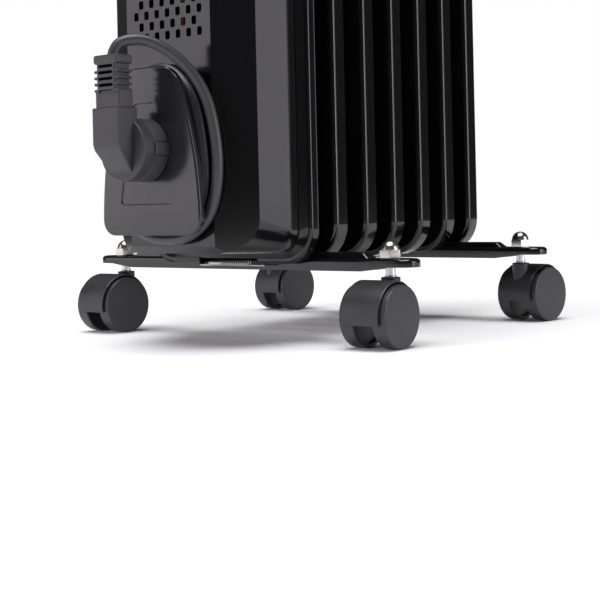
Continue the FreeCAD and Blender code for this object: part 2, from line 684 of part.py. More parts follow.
def make_thermostat():
    """Thermostat body behind the panel, bored for its shaft."""
    y = PANEL_Y + WALL
    body = box(-15, 15, y, y + 20, KNOB_Z - 18, KNOB_Z + 18)
    return body.cut(rod(SHAFT_R + FIT, (0, y - 1, KNOB_Z), (0, PANEL_Y + 10.4, KNOB_Z)))


def make_switch_frames():
    """Two switch bodies with a bezel on the fascia and pivot holes for the rockers."""
    frames = []
    front = PANEL_Y - FASCIA_T
    for x in ROCKER_X:
        bezel = box(x - 11, x + 11, front - 2, front, ROCKER_Z - 14.5, ROCKER_Z + 14.5)
        body = box(x - 9.3, x + 9.3, front, front + 22, ROCKER_Z - 12.8, ROCKER_Z + 12.8)
        cavity = box(x - 7.4, x + 7.4, front - 3, front + 9, ROCKER_Z - 11.6, ROCKER_Z + 11.6)
        frame = bezel.fuse(body).cut(cavity)
        frames.append(frame.cut(rod(ROCKER_PIN + FIT, (x - 8.8, front + 2, ROCKER_Z), (x + 8.8, front + 2, ROCKER_Z))))
    return Part.makeCompound(frames)


def make_rocker(x):
    """Rocker with a shallow V face and pivot pins, at rest in its off position."""
    half_x, half_z = ROCKER_HALF
    y = PANEL_Y - FASCIA_T + 2
    face = [(y - 4, ROCKER_Z), (y - 6.4, ROCKER_Z - half_z), (y + 3, ROCKER_Z - half_z),
            (y + 3, ROCKER_Z + half_z), (y - 6.4, ROCKER_Z + half_z)]
    body = prism(face, "X", x - half_x, 2 * half_x)
    body.rotate(V(x, y, ROCKER_Z), V(1, 0, 0), ROCKER_TILT)
    return body.fuse(rod(ROCKER_PIN, (x - 8.6, y, ROCKER_Z), (x + 8.6, y, ROCKER_Z)))


def make_handle():
    """Carrying handle: rounded bow with two feet on top of the housing."""
    corner, top = 14.0, HOUSING_TOP + HANDLE_RISE
    bend = corner * (1 - math.sqrt(0.5))
    points = [V(side * x, HANDLE_Y, z) for side in (-1, 1) for x, z in
              ((HANDLE_X, HOUSING_TOP), (HANDLE_X, top - corner), (HANDLE_X - bend, top - bend),
               (HANDLE_X - corner, top))]
    left, right = points[:4], points[4:]
    path = Part.Wire([Part.LineSegment(left[0], left[1]).toShape(), Part.Arc(*left[1:]).toShape(),
                      Part.LineSegment(left[3], right[3]).toShape(), Part.Arc(*right[:0:-1]).toShape(),
                      Part.LineSegment(right[1], right[0]).toShape()])
    section = Part.Wire(Part.makeCircle(HANDLE_R, left[0], V(0, 0, 1)))
    bow = path.makePipeShell([section], True, True)
    feet = [Part.makeCone(HANDLE_R + 4, HANDLE_R + 1.5, 5.0, point) for point in (left[0], right[0])]
    bow = bow.multiFuse(feet)
    for point in (left[0], right[0]):
        bow = bow.cut(Part.makeCylinder(2.0, 14, point))
    return bow


def make_handle_screws():
    """Screws that hold the handle from inside the housing."""
    screws = []
    for side in (-1, 1):
        seat = HOUSING_TOP - WALL
        shank = rod(2.0, (side * HANDLE_X, HANDLE_Y, seat), (side * HANDLE_X, HANDLE_Y, HOUSING_TOP + 14))
        head = rod(4.0, (side * HANDLE_X, HANDLE_Y, seat - 2.8), (side * HANDLE_X, HANDLE_Y, seat))
        screws.append(shank.fuse(head))
    return Part.makeCompound(screws)


def make_terminal_block():
    """Terminal block on the heat shield."""
    return box(-22, 22, SHIELD_Y - 16, SHIELD_Y, 330, 350)


def make_cutout():
    """Thermal cut-out on the heat shield above the element."""
    return rod(8.0, (0, SHIELD_Y - 12, 160), (0, SHIELD_Y, 160))


def make_loom():
    """Insulated wires from the terminal block to the element, cut-out and thermostat."""
    y = SHIELD_Y - 8
    wires = [rod(1.5, (side * 14, y, 108), (side * 14, y, 330)) for side in (-1, 1)]
    wires += [rod(1.5, (side * 5, y, 350), (side * 5, y, KNOB_Z - 22)) for side in (-1, 1)]
    return Part.makeCompound(wires)


def build():
    """Make every node."""
    for index in range(FIN_COUNT):
        save("fin_%d" % (index + 1), make_fin(index))
    save("collars_lower", make_collars(LOWER_Z))
    save("collars_upper", make_collars(UPPER_Z))
    save("housing_shell", make_shell())
    save("housing_frame", make_frame())
    save("clamp_band", make_band())
    save("band_spring", make_spring())
    save("winder_hub", make_hub())
    save("winder_plate", make_plate())
    save("cord_coil", make_coil())
    save("cord_tube", make_cord())
    save("mains_plug", make_plug())
    save("plug_pins", make_pins())
    save("foot_bracket_front", make_bracket(BRACKET_Y[0]))
    save("foot_bracket_rear", make_bracket(BRACKET_Y[1]))
    save("u_bolts", make_u_bolts())
    save("u_bolt_nuts", make_u_bolt_nuts())
    save("caster_stems", make_stems())
    save("cap_nuts", make_cap_nuts())
    for name in CASTERS:
        save("hood_" + name, make_hood(name))
        save("axle_" + name, make_axle(name))
        save("wheel_" + name + "_left", make_wheel(name, -1))
        save("wheel_" + name + "_right", make_wheel(name, 1))
    save("heating_element", make_element())
    save("element_flange", make_element_flange())
    save("filler_plug", make_filler_plug())
    save("control_fascia", make_fascia())
    save("thermostat_knob", make_knob())
    save("thermostat_shaft", make_shaft())
    save("thermostat_body", make_thermostat())
    save("switch_frames", make_switch_frames())
    for number, x in enumerate(ROCKER_X, 1):
        save("rocker_%d" % number, make_rocker(x))
    save("carry_handle", make_handle())
    save("handle_screws", make_handle_screws())
    save("terminal_block", make_terminal_block())
    save("thermal_cutout", make_cutout())
    save("wiring_loom", make_loom())
    save("cord_gland", make_gland())


build()
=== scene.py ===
from math import cos, pi, radians, sin

import bmesh
import bpy
from mathutils import Matrix, Vector


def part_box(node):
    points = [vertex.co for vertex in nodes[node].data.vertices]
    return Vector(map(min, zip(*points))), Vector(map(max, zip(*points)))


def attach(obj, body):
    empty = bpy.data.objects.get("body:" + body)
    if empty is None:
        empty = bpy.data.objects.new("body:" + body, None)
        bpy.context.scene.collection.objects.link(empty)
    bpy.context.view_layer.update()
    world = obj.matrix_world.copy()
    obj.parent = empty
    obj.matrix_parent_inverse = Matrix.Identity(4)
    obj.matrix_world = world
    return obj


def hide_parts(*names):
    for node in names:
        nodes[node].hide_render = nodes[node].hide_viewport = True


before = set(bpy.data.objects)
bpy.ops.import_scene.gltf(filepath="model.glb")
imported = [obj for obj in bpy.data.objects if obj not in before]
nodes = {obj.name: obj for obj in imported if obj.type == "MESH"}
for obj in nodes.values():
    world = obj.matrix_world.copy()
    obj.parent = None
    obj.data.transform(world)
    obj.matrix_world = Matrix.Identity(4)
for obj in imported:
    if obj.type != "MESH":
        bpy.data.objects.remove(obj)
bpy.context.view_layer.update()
scene = bpy.context.scene

# ---- Camera ---------------------------------------------------------------------------------
# Long lens, level, at the height of the lower headers and to the front right of the heater.
# The shift keeps the feet high in the picture, and the head is turned a little clockwise.
lens = bpy.data.cameras.new("camera")
lens.lens = 72.85
lens.sensor_width = 36.0
lens.shift_y = -0.1581
lens.clip_end = 60.0
camera = bpy.data.objects.new("camera", lens)
camera.matrix_world = (Matrix.Translation((0.5398, -0.6973, 0.0898))
                       @ Matrix.Rotation(radians(37.654), 4, "Z")
                       @ Matrix.Rotation(radians(90.0), 4, "X") @ Matrix.Rotation(radians(-1.279), 4, "Z"))
scene.collection.objects.link(camera)
scene.camera = camera


# ---- Mains cord -----------------------------------------------------------------------------
# Round black PVC lead, 7 mm thick. It leaves the hub through a slanted gland, lies three and a
# half turns round the hub, makes one loose turn and folds over the plate into the plug.
def shade_group(name, outputs):
    """Empty node group with a Scale input and the given colour or value outputs."""
    group = bpy.data.node_groups.new(name, "ShaderNodeTree")
    group.interface.new_socket("Scale", in_out="INPUT", socket_type="NodeSocketFloat")
    group.interface.new_socket("Low", in_out="INPUT", socket_type="NodeSocketFloat")
    group.interface.new_socket("High", in_out="INPUT", socket_type="NodeSocketFloat")
    for output in outputs:
        group.interface.new_socket(output, in_out="OUTPUT", socket_type="NodeSocketFloat")
    return group


# Fine moulded or sprayed grain: a height for bump, and a roughness that drifts between Low and High.
grain = shade_group("surface_grain", ("Height", "Roughness"))
grain_in = grain.nodes.new("NodeGroupInput")
grain_out = grain.nodes.new("NodeGroupOutput")
grain_place = grain.nodes.new("ShaderNodeTexCoord")
grain_fine = grain.nodes.new("ShaderNodeTexNoise")
grain_fine.inputs["Detail"].default_value = 3.0
grain_cloud = grain.nodes.new("ShaderNodeTexNoise")
grain_cloud.inputs["Scale"].default_value = 14.0
grain_cloud.inputs["Detail"].default_value = 4.0
grain_range = grain.nodes.new("ShaderNodeMapRange")
grain_range.inputs["From Min"].default_value = 0.3
grain_range.inputs["From Max"].default_value = 0.7
for source, target in ((grain_place.outputs["Object"], grain_fine.inputs["Vector"]),
                       (grain_place.outputs["Object"], grain_cloud.inputs["Vector"]),
                       (grain_in.outputs["Scale"], grain_fine.inputs["Scale"]),
                       (grain_cloud.outputs["Fac"], grain_range.inputs["Value"]),
                       (grain_in.outputs["Low"], grain_range.inputs["To Min"]),
                       (grain_in.outputs["High"], grain_range.inputs["To Max"]),
                       (grain_fine.outputs["Fac"], grain_out.inputs["Height"]),
                       (grain_range.outputs["Result"], grain_out.inputs["Roughness"])):
    grain.links.new(source, target)

# Faint dust and handling marks: a mask that gathers where faces look up.
dust = shade_group("settled_dust", ("Mask",))
dust_in = dust.nodes.new("NodeGroupInput")
dust_out = dust.nodes.new("NodeGroupOutput")
dust_place = dust.nodes.new("ShaderNodeTexCoord")
dust_noise = dust.nodes.new("ShaderNodeTexNoise")
dust_noise.inputs["Detail"].default_value = 5.0
dust_range = dust.nodes.new("ShaderNodeMapRange")
dust_range.inputs["From Min"].default_value = 0.35
dust_range.inputs["From Max"].default_value = 0.75
dust_face = dust.nodes.new("ShaderNodeNewGeometry")
dust_split = dust.nodes.new("ShaderNodeSeparateXYZ")
dust_up = dust.nodes.new("ShaderNodeMapRange")
dust_up.inputs["From Min"].default_value = 0.2
dust_up.inputs["From Max"].default_value = 1.0
dust_up.inputs["To Min"].default_value = 0.25
dust_mix = dust.nodes.new("ShaderNodeMath")
dust_mix.operation = "MULTIPLY"
for source, target in ((dust_place.outputs["Object"], dust_noise.inputs["Vector"]),
                       (dust_in.outputs["Scale"], dust_noise.inputs["Scale"]),
                       (dust_noise.outputs["Fac"], dust_range.inputs["Value"]),
                       (dust_in.outputs["Low"], dust_range.inputs["To Min"]),
                       (dust_in.outputs["High"], dust_range.inputs["To Max"]),
                       (dust_face.outputs["Normal"], dust_split.inputs["Vector"]),
                       (dust_split.outputs["Z"], dust_up.inputs["Value"]),
                       (dust_range.outputs["Result"], dust_mix.inputs[0]),
                       (dust_up.outputs["Result"], dust_mix.inputs[1]),
                       (dust_mix.outputs["Value"], dust_out.inputs["Mask"])):
    dust.links.new(source, target)


def finish(name, color, rough, grain_scale, bump, metallic=0.0, dusty=0.04, tint=(0.34, 0.33, 0.32)):
    """Material with grain in its bump and roughness and a trace of dust in its colour."""
    material = bpy.data.materials.new(name)
    material.use_nodes = True
    tree = material.node_tree
    shader = tree.nodes["Principled BSDF"]
    shader.inputs["Metallic"].default_value = metallic
    texture = tree.nodes.new("ShaderNodeGroup")
    texture.node_tree = grain
    texture.inputs["Scale"].default_value = grain_scale
    texture.inputs["Low"].default_value = rough[0]
    texture.inputs["High"].default_value = rough[1]
    film = tree.nodes.new("ShaderNodeGroup")
    film.node_tree = dust
    film.inputs["Scale"].default_value = 45.0
    film.inputs["High"].default_value = dusty
    blend = tree.nodes.new("ShaderNodeMix")
    blend.data_type = "RGBA"
    blend.inputs[6].default_value = (*color, 1.0)
    blend.inputs[7].default_value = (*tint, 1.0)
    relief = tree.nodes.new("ShaderNodeBump")
    relief.inputs["Strength"].default_value = bump
    relief.inputs["Distance"].default_value = 0.0004
    tree.links.new(film.outputs["Mask"], blend.inputs[0])
    tree.links.new(blend.outputs[2], shader.inputs["Base Color"])
    tree.links.new(texture.outputs["Roughness"], shader.inputs["Roughness"])
    tree.links.new(texture.outputs["Height"], relief.inputs["Height"])
    tree.links.new(relief.outputs["Normal"], shader.inputs["Normal"])
    return material


cord_d = 0.007
cord_jacket = finish("cord_jacket", (0.030, 0.030, 0.033), (0.34, 0.46), 900.0, 0.12, dusty=0.05)

# The hub is the hull of four discs: centre x, centre z and radius of the right-hand ones.
hub_low = (0.0075, 0.106, 0.016)
hub_high = (0.0035, 0.153, 0.009)
inner_y, outer_y = -0.1372, -0.1443


def round_hub(angle, away):
    """Point (x, z) at a normal angle in degrees, that far outside the hub."""
    across, up = cos(radians(angle)), sin(radians(angle))
    x, z, radius = max((hub_low, hub_high), key=lambda d: d[0] * abs(across) + d[1] * up + d[2])
    reach = radius + away
    return (x if across > 0 else -x) + reach * across, z + reach * up


def step(value, start, end):
    """0 before start, 1 after end, even in between."""
    return min(1.0, max(0.0, (value - start) / (end - start)))


first_layer, second_layer = 0.0041, 0.0112
cord_points = [(-0.012, inner_y, 0.0970), (-0.006, inner_y, 0.0940), (0.001, inner_y, 0.0900)]
turned = 22.5
while turned < 1125.0:
    layer = first_layer + (second_layer - first_layer) * step(turned, 600, 660)
    y = inner_y + (outer_y - inner_y) * (step(turned, 300, 360) - step(turned, 1000, 1060))
    x, z = round_hub(turned - 100.0, layer)
    cord_points.append((x, y, z))
    turned += 22.5
cord_points += [(0.0235, -0.1374, 0.0835), (0.0305, -0.1376, 0.0940), (0.0331, -0.1378, 0.1060),
                (0.0330, -0.1378, 0.1180), (0.0317, -0.1378, 0.1310), (0.0294, -0.1378, 0.1445),
                (0.0250, -0.1376, 0.1575), (0.0180, -0.1374, 0.1685), (0.0085, -0.1373, 0.1765),
                (-0.003, -0.1373, 0.1797), (-0.0145, -0.1374, 0.1770), (-0.0255, -0.1376, 0.1690),
                (-0.036, -0.138, 0.153), (-0.0415, -0.138, 0.131), (-0.043, -0.138, 0.108),
                (-0.037, -0.138, 0.087), (-0.021, -0.138, 0.073), (0.000, -0.138, 0.069),
                (0.0225, -0.138, 0.0715), (0.0395, -0.138, 0.0855), (0.046, -0.138, 0.110),
                (0.044, -0.138, 0.137), (0.037, -0.139, 0.162), (0.026, -0.148, 0.1815),
                (0.012, -0.161, 0.1936), (0.0028, -0.1715, 0.1938), (-0.0022, -0.177, 0.1896),
                (-0.003, -0.178, 0.1835)]
curve = bpy.data.curves.new("mains_cord", "CURVE")
curve.dimensions = "3D"
curve.bevel_depth = cord_d / 2
curve.bevel_resolution = 6
curve.resolution_u = 8
line = curve.splines.new("NURBS")
line.points.add(len(cord_points) - 1)
for point, place in zip(line.points, cord_points):
    point.co = (*place, 1.0)
line.order_u = 3
line.use_endpoint_u = True
curve.materials.append(cord_jacket)
cord = bpy.data.objects.new("mains_cord", curve)
scene.collection.objects.link(cord)
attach(cord, "heater")
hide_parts("cord_tube", "cord_coil")


# ---- Fins -----------------------------------------------------------------------------------
# Seven fins pressed from 1.2 mm sheet, with a soft bend into a rim that points backwards, and
# vertical oil channels between two round headers. They are dipped in gloss black enamel.
def flat_outline(bm, half, bottom, top, corner, y, steps=8):
    """Rounded rectangle standing at y; returns its edges."""
    bottoms, tops = ((half, y, bottom), (-half, y, bottom)), ((-half, y, top), (half, y, top))
    corners = [bm.verts.new(place) for place in (*bottoms, *tops)]
    bm.faces.new(corners)
    bmesh.ops.bevel(bm, geom=corners, offset=corner, segments=steps, profile=0.5, affect="VERTICES",
                    material=-1)
    return [edge for edge in bm.edges if all(abs(v.co.y - y) < 1e-7 for v in edge.verts)]


def open_face(bm, y):
    """Remove the face that lies at y and keep its edges."""
    lids = [face for face in bm.faces if all(abs(v.co.y - y) < 1e-7 for v in face.verts)]
    bmesh.ops.delete(bm, geom=lids, context="FACES_ONLY")


def round_edges(bm, edges, offset, segments=3):
    """Bevel edges with the settings of the editor."""
    bmesh.ops.bevel(bm, geom=edges, offset=offset, segments=segments, profile=0.5, affect="EDGES",
                    material=-1, clamp_overlap=True)


def sharp_edges(bm, angle=25.0):
    """Edges between faces that meet at more than an angle in degrees."""
    return [e for e in bm.edges if len(e.link_faces) == 2 and e.calc_face_angle(0.0) > radians(angle)]


def add_block(bm, low, high, rounding=0.0, segments=3):
    """Box between two corners, with rounded edges."""
    size = Vector(high) - Vector(low)
    middle = (Vector(high) + Vector(low)) / 2
    made = bmesh.ops.create_cube(bm, size=1.0, matrix=Matrix.Translation(middle)
                                 @ Matrix.Diagonal((*size, 1.0)))
    if rounding:
        round_edges(bm, list({e for v in made["verts"] for e in v.link_edges}), rounding, segments)


def add_drum(bm, centre, axis, radius, length, rounding=0.0, sides=48, taper=0.0):
    """Round bar centred at a point along X, Y or Z, with rounded rims; taper narrows its far end."""
    turn = {"X": Matrix.Rotation(pi / 2, 4, "Y"), "Y": Matrix.Rotation(-pi / 2, 4, "X"),
            "Z": Matrix()}[axis]
    made = bmesh.ops.create_cone(bm, cap_ends=True, segments=sides, radius1=radius, radius2=radius - taper,
                                 depth=length, matrix=Matrix.Translation(centre) @ turn)
    if rounding:
        rims = {e for v in made["verts"] for e in v.link_edges
                if any(len(f.verts) > 4 for f in e.link_faces)}
        round_edges(bm, list(rims), rounding, 3)
    return made["verts"]


def add_piece(bm, name, material, body, replaced=(), smooth=32.0):
    """Turn a bmesh into a piece that rides on a body and stands for CAD nodes."""
    bmesh.ops.remove_doubles(bm, verts=bm.verts, dist=1e-7)
    bmesh.ops.recalc_face_normals(bm, faces=bm.faces)
    mesh = bpy.data.meshes.new(name)
    bm.to_mesh(mesh)
    bm.free()
    mesh.materials.append(material)
    mesh.shade_smooth()
    mesh.set_sharp_from_angle(angle=radians(smooth))
    piece = bpy.data.objects.new(name, mesh)
    scene.collection.objects.link(piece)
    evened = piece.modifiers.new("even_normals", "WEIGHTED_NORMAL")
    evened.keep_sharp = True
    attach(piece, body)
    if replaced:
        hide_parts(*replaced)
    return piece


enamel = finish("black_enamel", (0.0034, 0.0032, 0.0037), (0.10, 0.15), 260.0, 0.012, dusty=0.003)
fin_half, fin_top, fin_corner = 0.0683, 0.598, 0.025
fin_sheet, fin_bend = 0.0012, 0.0036
header_low, header_high = 0.100, 0.550
for number in range(1, 8):
    name = "fin_%d" % number
    low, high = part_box(name)
    front, back = low.y + 0.004, high.y
    if number < 7:
        back = front + (0.0130 if number > 1 else 0.0071)
    bm = bmesh.new()
    flat_outline(bm, fin_half, low.z, fin_top, fin_corner, front)
    made = bmesh.ops.extrude_face_region(bm, geom=bm.faces[:])
    moved = [v for v in made["geom"] if isinstance(v, bmesh.types.BMVert)]
    bmesh.ops.translate(bm, verts=moved, vec=(0, back - front, 0))
    open_face(bm, back)
    bmesh.ops.recalc_face_normals(bm, faces=bm.faces)
    rim = [e for e in sharp_edges(bm, 60.0) if all(abs(v.co.y - front) < 1e-7 for v in e.verts)]
    round_edges(bm, rim, fin_bend, 5)
    bmesh.ops.solidify(bm, geom=bm.faces[:], thickness=fin_sheet)
    for x in (-0.022, 0.0, 0.022):
        add_block(bm, (x - 0.0065, front - 0.004, header_low),
                  (x + 0.0065, front + 0.0052, header_high), 0.003, 4)
    for z in (header_low, header_high):
        add_drum(bm, (0, front + 0.0006, z), "Y", 0.027, 0.0092, 0.003, 64)
    add_piece(bm, "pressed_fin_%d" % number, enamel, "heater", (name,))
for name in ("collars_lower", "collars_upper"):
    nodes[name].data.materials.clear()
    nodes[name].data.materials.append(enamel)


# ---- Control housing ------------------------------------------------------------------------
# One deep-drawn sheet shell: a flat panel, two slanted cheeks and tapered sides that end at the
# lip. Staggered slots let the air into the controls. It has the same enamel as the fins.
panel_y, lip_y = -0.1325, -0.085
housing_top = 0.608
panel_half, cheek_half, cheek_y = 0.0365, 0.0604, -0.118
shell_sheet = 0.0009
bm = bmesh.new()
lip_edges = flat_outline(bm, 0.066, 0.0592, housing_top, 0.015, lip_y, 10)
hem_y = lip_y - 0.0078
hem_edges = flat_outline(bm, 0.0659, 0.0593, housing_top, 0.015, hem_y, 10)
nose_edges = flat_outline(bm, 0.058, 0.0606, housing_top, 0.025, panel_y, 10)
open_face(bm, lip_y)
open_face(bm, hem_y)
bmesh.ops.bridge_loops(bm, edges=[e for e in lip_edges + hem_edges if e.is_valid])
bmesh.ops.bridge_loops(bm, edges=[e for e in hem_edges + nose_edges if e.is_valid])
cheek_slope = (cheek_y - panel_y) / (cheek_half - panel_half)
cuts = [((side * panel_half, panel_y, 0), (side * cheek_slope, -1.0, 0)) for side in (-1, 1)]
cuts += [((0, panel_y, z + way * 0.0045), (0, -1.0, -way)) for z, way in ((0.0606, 1), (housing_top, -1))]
for place, facing in cuts:
    everything = bm.verts[:] + bm.edges[:] + bm.faces[:]
    cut = bmesh.ops.bisect_plane(bm, geom=everything, dist=1e-7, plane_co=place,
                                 plane_no=Vector(facing).normalized(), clear_outer=True)
    seam = [e for e in cut["geom_cut"] if isinstance(e, bmesh.types.BMEdge)]
    bmesh.ops.edgenet_fill(bm, edges=seam)
bmesh.ops.recalc_face_normals(bm, faces=bm.faces)
round_edges(bm, sharp_edges(bm, 20.0), 0.0012, 4)
hem = [e for e in bm.edges if all(abs(v.co.y - hem_y) < 1e-6 for v in e.verts)]
round_edges(bm, hem, 0.0035, 6)
bmesh.ops.solidify(bm, geom=bm.faces[:], thickness=shell_sheet)
shell = add_piece(bm, "housing_shell_skin", enamel, "heater", ("housing_shell",))

vent_pitch_x, vent_pitch_z, vent_base = 0.0092, 0.0072, 0.2005
bm = bmesh.new()
for row in range(16):
    count = 7 - row % 2
    for column in range(count):
        x = (column - (count - 1) / 2) * vent_pitch_x
        z = vent_base + row * vent_pitch_z
        made = bmesh.ops.create_cube(bm, size=1.0, matrix=Matrix.Translation((x, panel_y, z))
                                     @ Matrix.Diagonal((0.0040, 0.008, 0.0055, 1.0)))
        upright = [e for v in made["verts"] for e in v.link_edges
                   if abs(e.verts[0].co.y - e.verts[1].co.y) > 0.004]
        round_edges(bm, list(set(upright)), 0.0011, 3)


def punch(piece, bm, crossing=False):
    """Cut the closed shapes of a bmesh out of a piece."""
    shapes = bpy.data.meshes.new("punch_shapes")
    bm.to_mesh(shapes)
    bm.free()
    cutter = bpy.data.objects.new("punch_shapes", shapes)
    scene.collection.objects.link(cutter)
    piece.modifiers.clear()
    cut = piece.modifiers.new("punched", "BOOLEAN")
    cut.object = cutter
    cut.solver = "EXACT"
    cut.use_self = crossing
    bpy.context.view_layer.update()
    punched = bpy.data.meshes.new_from_object(piece.evaluated_get(bpy.context.evaluated_depsgraph_get()))
    piece.modifiers.clear()
    piece.data = punched
    punched.set_sharp_from_angle(angle=radians(32.0))
    piece.modifiers.new("even_normals", "WEIGHTED_NORMAL").keep_sharp = True
    bpy.data.objects.remove(cutter)


punch(shell, bm)

# ---- Housing frame --------------------------------------------------------------------------
# Flared rim between the shell's lip and the seam, in the same enamel.
seam_y, seam_half, seam_bottom, seam_top = -0.080, 0.070, 0.0552, 0.6025
bm = bmesh.new()
loops = [flat_outline(bm, *shape, 10) for shape in (
    (0.0664, 0.0588, housing_top + 0.0004, 0.015, lip_y),
    (seam_half, seam_bottom, seam_top, 0.021, seam_y),
    (seam_half - 0.003, seam_bottom + 0.003, seam_top - 0.003, 0.018, seam_y + 0.0001),
    (0.0634, 0.0618, housing_top - 0.0026, 0.012, lip_y + 0.0001))]
for shape_y in (lip_y, seam_y, seam_y + 0.0001, lip_y + 0.0001):
    open_face(bm, shape_y)
for first, second in zip(loops, loops[1:] + loops[:1]):
    bmesh.ops.bridge_loops(bm, edges=[e for e in first + second if e.is_valid])
bmesh.ops.recalc_face_normals(bm, faces=bm.faces)
add_piece(bm, "housing_rim", enamel, "heater", ("housing_frame",))

# ---- Clamp band and its spring --------------------------------------------------------------
# Thin rolled band over the seam. Its ends stop short of each other under the housing, and a
# bright tension spring hooked to a lug on each end pulls them together.
zinc = finish("bright_zinc", (0.66, 0.67, 0.69), (0.22, 0.36), 420.0, 0.05, 1.0, dusty=0.03)
band_end = -0.0723
gap_left, gap_right = -0.025, 0.027
bm = bmesh.new()
loops = [flat_outline(bm, *shape, 12) for shape in (
    (seam_half - 0.002, seam_bottom + 0.0012, seam_top - 0.002, 0.020, seam_y - 0.0001),
    (seam_half + 0.0014, seam_bottom - 0.0020, seam_top + 0.0014, 0.022, seam_y),
    (seam_half + 0.0024, seam_bottom - 0.0036, seam_top + 0.0024, 0.023, seam_y + 0.0016),
    (seam_half + 0.0024, seam_bottom - 0.0036, seam_top + 0.0024, 0.023, band_end - 0.0012),
    (seam_half + 0.0028, seam_bottom - 0.0040, seam_top + 0.0028, 0.023, band_end),
    (seam_half - 0.0022, seam_bottom + 0.0008, seam_top - 0.0052, 0.021, band_end + 0.0006))]
for shape_y in (seam_y - 0.0001, seam_y, seam_y + 0.0016, band_end - 0.0012, band_end, band_end + 0.0006):
    open_face(bm, shape_y)
for first, second in zip(loops, loops[1:]):
    bmesh.ops.bridge_loops(bm, edges=[e for e in first + second if e.is_valid])
for x in (gap_left, gap_right):
    bmesh.ops.bisect_plane(bm, geom=bm.verts[:] + bm.edges[:] + bm.faces[:], plane_co=(x, 0, 0),
                           plane_no=(1, 0, 0))
gone = [f for f in bm.faces if f.calc_center_median().z < 0.07
        and gap_left < f.calc_center_median().x < gap_right]
bmesh.ops.delete(bm, geom=gone, context="FACES")
bmesh.ops.recalc_face_normals(bm, faces=bm.faces)
round_edges(bm, sharp_edges(bm, 30.0), 0.0005, 2)
bmesh.ops.solidify(bm, geom=bm.faces[:], thickness=0.0007)
spring_y, spring_z = (seam_y + band_end) / 2, 0.0518
for x in (gap_left - 0.002, gap_right + 0.003):
    add_block(bm, (x - 0.0012, spring_y - 0.0022, spring_z - 0.0012),
              (x + 0.0012, spring_y + 0.0022, spring_z + 0.003),
              0.0005, 2)
add_piece(bm, "clamp_band_skin", enamel, "heater", ("clamp_band",))


def add_coil(bm, start, length, radius, wire, turns, sides=10, steps=14):
    """Helix along X: a small ring of wire spun round the axis while it moves on."""
    centre = Vector(start)
    ring = bmesh.ops.create_circle(bm, segments=sides, radius=wire, cap_ends=False,
                                   matrix=Matrix.Translation(
        centre + Vector((0, 0, radius))) @ Matrix.Rotation(pi / 2, 4, "X"))
    count = int(turns * steps)
    bmesh.ops.spin(bm, geom=ring["verts"] + list({e for v in ring["verts"] for e in v.link_edges}),
                   cent=centre,
                   axis=(1, 0, 0), dvec=(length / count, 0, 0), angle=2 * pi * turns, steps=count)


bm = bmesh.new()
add_coil(bm, (-0.018, spring_y, spring_z), 0.010, 0.0017, 0.00042, 11)
add_coil(bm, (-0.008, spring_y, spring_z), 0.025, 0.0017, 0.00042, 13)
for first, last in ((gap_left - 0.002, -0.018), (0.017, gap_right + 0.003)):
    add_drum(bm, ((first + last) / 2, spring_y, spring_z - 0.0015), "X", 0.0005, last - first, 0, 12)
add_piece(bm, "band_spring_wire", zinc, "heater", ("band_spring",), 60.0)


# ---- Cord winder ----------------------------------------------------------------------------
# Moulded plastic plate on a hollow hub. The plate is wide at the bottom and narrow at the top,
# has a shallow recess for the plug, and its rim is softly rounded.
def bowed_outline(bm, y, points, roundings):
    """Symmetric outline at y from right-hand points (x, z), bottom first, each corner rounded."""
    right = [bm.verts.new((x, y, z)) for x, z in points]
    left = [bm.verts.new((-x, y, z)) for x, z in reversed(points)]
    bm.faces.new(right + left)
    for pair, rounding in zip(zip(right, reversed(left)), roundings):
        live = [v for v in pair if v.is_valid]
        bmesh.ops.bevel(bm, geom=live, offset=rounding, segments=7, profile=0.5, affect="VERTICES",
                        material=-1)
    return [edge for edge in bm.edges if all(abs(v.co.y - y) < 1e-7 for v in edge.verts)]


satin_plastic = finish("satin_plastic", (0.0125, 0.0122, 0.0138), (0.13, 0.20), 1500.0, 0.03, dusty=0.012)
plate_front, plate_back = -0.152, -0.148
bm = bmesh.new()
plate_shape = ((0.0426, 0.0728), (0.0418, 0.103), (0.0368, 0.134), (0.0235, 0.1786))
outer = bowed_outline(bm, plate_front, plate_shape, (0.010, 0.015, 0.015, 0.0135))
open_face(bm, plate_front)
recess_shape = ((0.0226, 0.0924), (0.0178, 0.122), (0.0098, 0.156))
level = plate_front - 0.00001
inner = bowed_outline(bm, level, recess_shape, (0.003, 0.009, 0.0035))
bmesh.ops.translate(bm, verts=list({v for e in inner for v in e.verts}), vec=(-0.003, 0, 0))
open_face(bm, level)
bmesh.ops.bridge_loops(bm, edges=[e for e in outer + inner if e.is_valid])
inner = [e for e in inner if e.is_valid]
made = bmesh.ops.extrude_edge_only(bm, edges=inner)
sunk = [v for v in made["geom"] if isinstance(v, bmesh.types.BMVert)]
bmesh.ops.translate(bm, verts=sunk, vec=(0, 0.0008, 0))
bmesh.ops.edgenet_fill(bm, edges=[e for e in made["geom"] if isinstance(e, bmesh.types.BMEdge)
                                  and all(v in sunk for v in e.verts)])
made = bmesh.ops.extrude_edge_only(bm, edges=[e for e in outer if e.is_valid])
rear = [v for v in made["geom"] if isinstance(v, bmesh.types.BMVert)]
bmesh.ops.translate(bm, verts=rear, vec=(0, plate_back - plate_front, 0))
bmesh.ops.edgenet_fill(bm, edges=[e for e in made["geom"] if isinstance(e, bmesh.types.BMEdge)
                                  and all(v in rear for v in e.verts)])
bmesh.ops.recalc_face_normals(bm, faces=bm.faces)
rim = [e for e in sharp_edges(bm, 40.0) if abs(e.verts[0].co.y - plate_front) < 1e-6 and
       abs(e.verts[1].co.y - plate_front) < 1e-6]
round_edges(bm, rim, 0.0013, 4)
